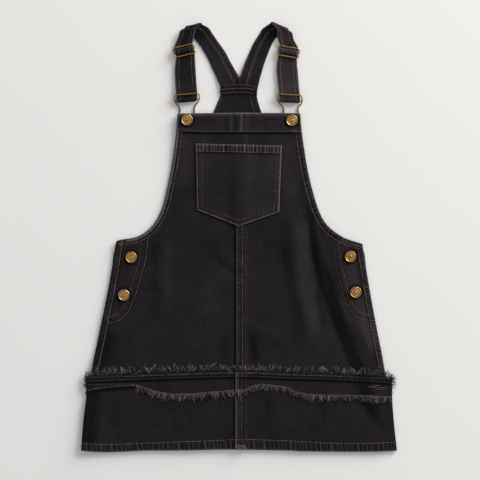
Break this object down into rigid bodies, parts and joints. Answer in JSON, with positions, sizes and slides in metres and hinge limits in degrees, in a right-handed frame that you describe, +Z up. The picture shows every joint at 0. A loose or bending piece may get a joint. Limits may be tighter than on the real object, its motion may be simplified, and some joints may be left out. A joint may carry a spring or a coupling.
{
  "type": "denim pinafore dress",
  "caption": "Black denim pinafore dress laid flat, bib with pocket, wire slider straps folded forward, frayed skirt band.",
  "frame": {"origin": "centre of the garment's footprint, on the surface that it lies on", "axes": "+Y from the hem to the shoulder straps, +X to the viewer's right, +Z up, out of the front"},
  "size_m": [0.5258, 0.7145, 0.0103],
  "materials": {
    "denim": "washed black twill with brown stitching",
    "fray": "loose grey yarn ends",
    "brass": "antique, satin with darker recesses"
  },
  "bodies": {
    "root": {"back_panel": "denim", "hem_back": "denim", "band_back": "denim", "fringe_upper_back": "fray", "fringe_lower_back": "fray", "front_left": "denim", "front_right": "denim", "hem_front_left": "denim", "hem_front_right": "denim", "band_front_left": "denim", "band_front_right": "denim", "fringe_upper_front_left": "fray", "fringe_upper_front_right": "fray", "fringe_lower_front_left": "fray", "fringe_lower_front_right": "fray", "bib_band": "denim", "bib_pocket": "denim", "strap_left": "denim", "strap_right": "denim", "slider_left": "brass", "slider_right": "brass", "hook_left": "brass", "hook_right": "brass", "button_bib_left": "brass", "button_bib_right": "brass", "button_side_left_upper": "brass", "button_side_left_lower": "brass", "button_side_right_upper": "brass", "button_side_right_lower": "brass"}
  },
  "joints": []
}
